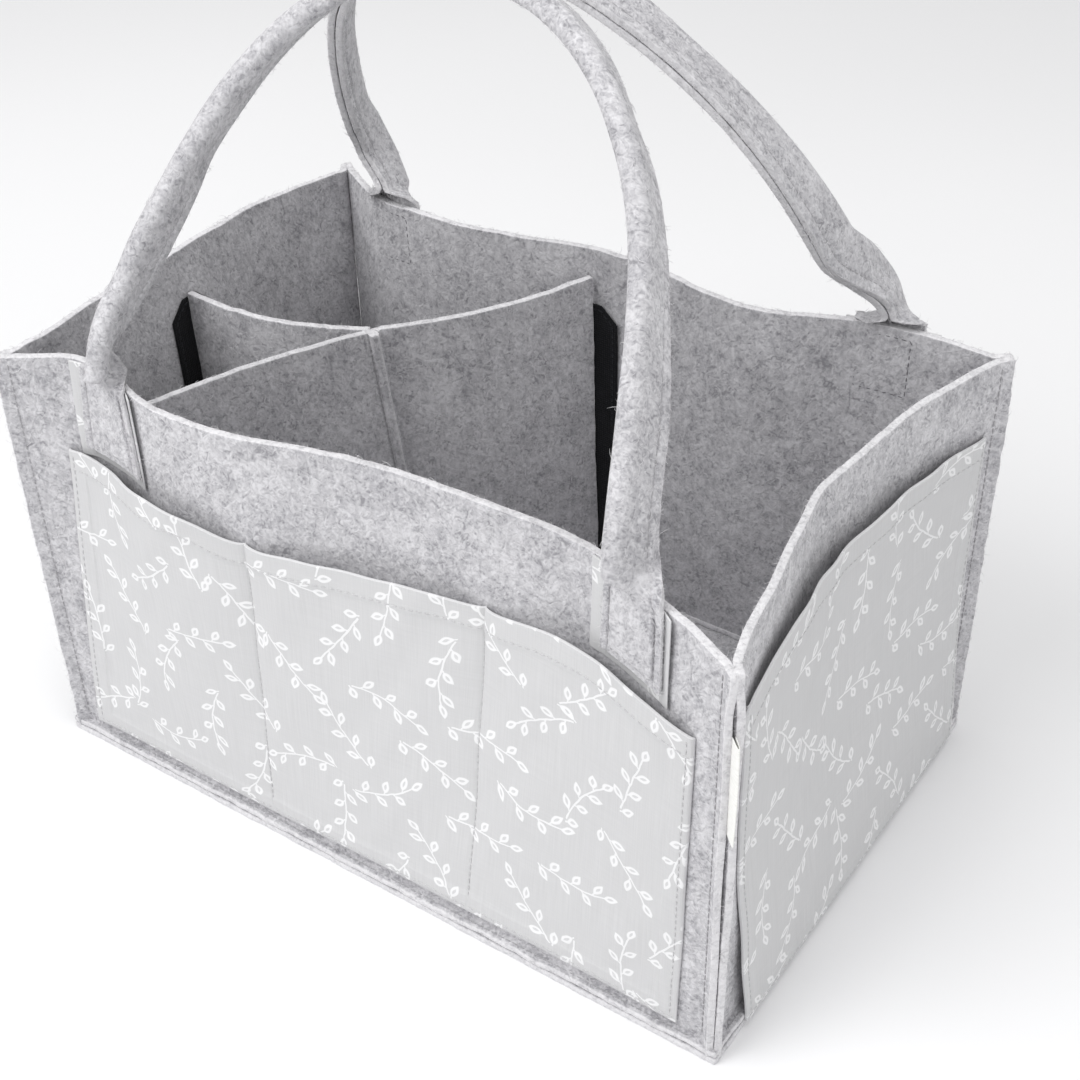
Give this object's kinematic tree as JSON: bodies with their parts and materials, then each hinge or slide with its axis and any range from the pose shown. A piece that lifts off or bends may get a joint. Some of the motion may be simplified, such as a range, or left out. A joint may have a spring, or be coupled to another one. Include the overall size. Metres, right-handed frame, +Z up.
{
  "type": "diaper caddy",
  "caption": "Open felt storage box with outside cotton pockets, a lift-out felt divider held by hook tape, and swinging folded felt carrying handles",
  "frame": {"origin": "middle of the underside of the base panel", "axes": "+X along the length towards the large compartment, +Y across the width from the front long wall to the back one, +Z up"},
  "size_m": [0.3549, 0.2304, 0.3653],
  "materials": {
    "felt": "mottled grey needle felt, matte, slightly fuzzy",
    "printed_cotton": "light grey woven cotton, matte, printed with pale leafy sprigs",
    "hook_tape": "black nylon hook tape, matte",
    "satin": "white satin tape, slightly glossy"
  },
  "bodies": {
    "caddy": {"base_panel": "felt", "front_panel": "felt", "right_end_panel": "felt", "back_panel": "felt", "left_end_panel": "felt", "front_handle_tab_left": "felt", "front_handle_patch_left": "printed_cotton", "front_handle_tab_right": "felt", "front_handle_patch_right": "printed_cotton", "back_handle_tab_left": "felt", "back_handle_patch_left": "printed_cotton", "back_handle_tab_right": "felt", "back_handle_patch_right": "printed_cotton", "front_pocket": "printed_cotton", "back_pocket": "printed_cotton", "left_end_pocket": "printed_cotton", "right_end_pocket": "printed_cotton", "care_label": "satin"},
    "handle_front": {"front_handle": "felt"},
    "handle_back": {"back_handle": "felt"},
    "divider": {"divider_long_leaf": "felt", "divider_short_leaf": "felt", "left_hook_tape": "hook_tape", "back_hook_tape": "hook_tape", "front_hook_tape": "hook_tape"}
  },
  "joints": [
    {"name": "front_handle_swing", "type": "hinge", "parent": "caddy", "child": "handle_front", "pos_m": [-0.10558, -0.1035, 0.19926], "axis": [0.9997, 0.0159, -0.0185], "range_deg": [0, 150]},
    {"name": "back_handle_swing", "type": "hinge", "parent": "caddy", "child": "handle_back", "pos_m": [0.12972, 0.11528, 0.19601], "axis": [-0.9979, -0.0648, -0.0093], "range_deg": [0, 150]},
    {"name": "divider_lift", "type": "slide", "parent": "caddy", "child": "divider", "axis": [0, 0, 1], "range_m": [0, 0.02]}
  ]
}
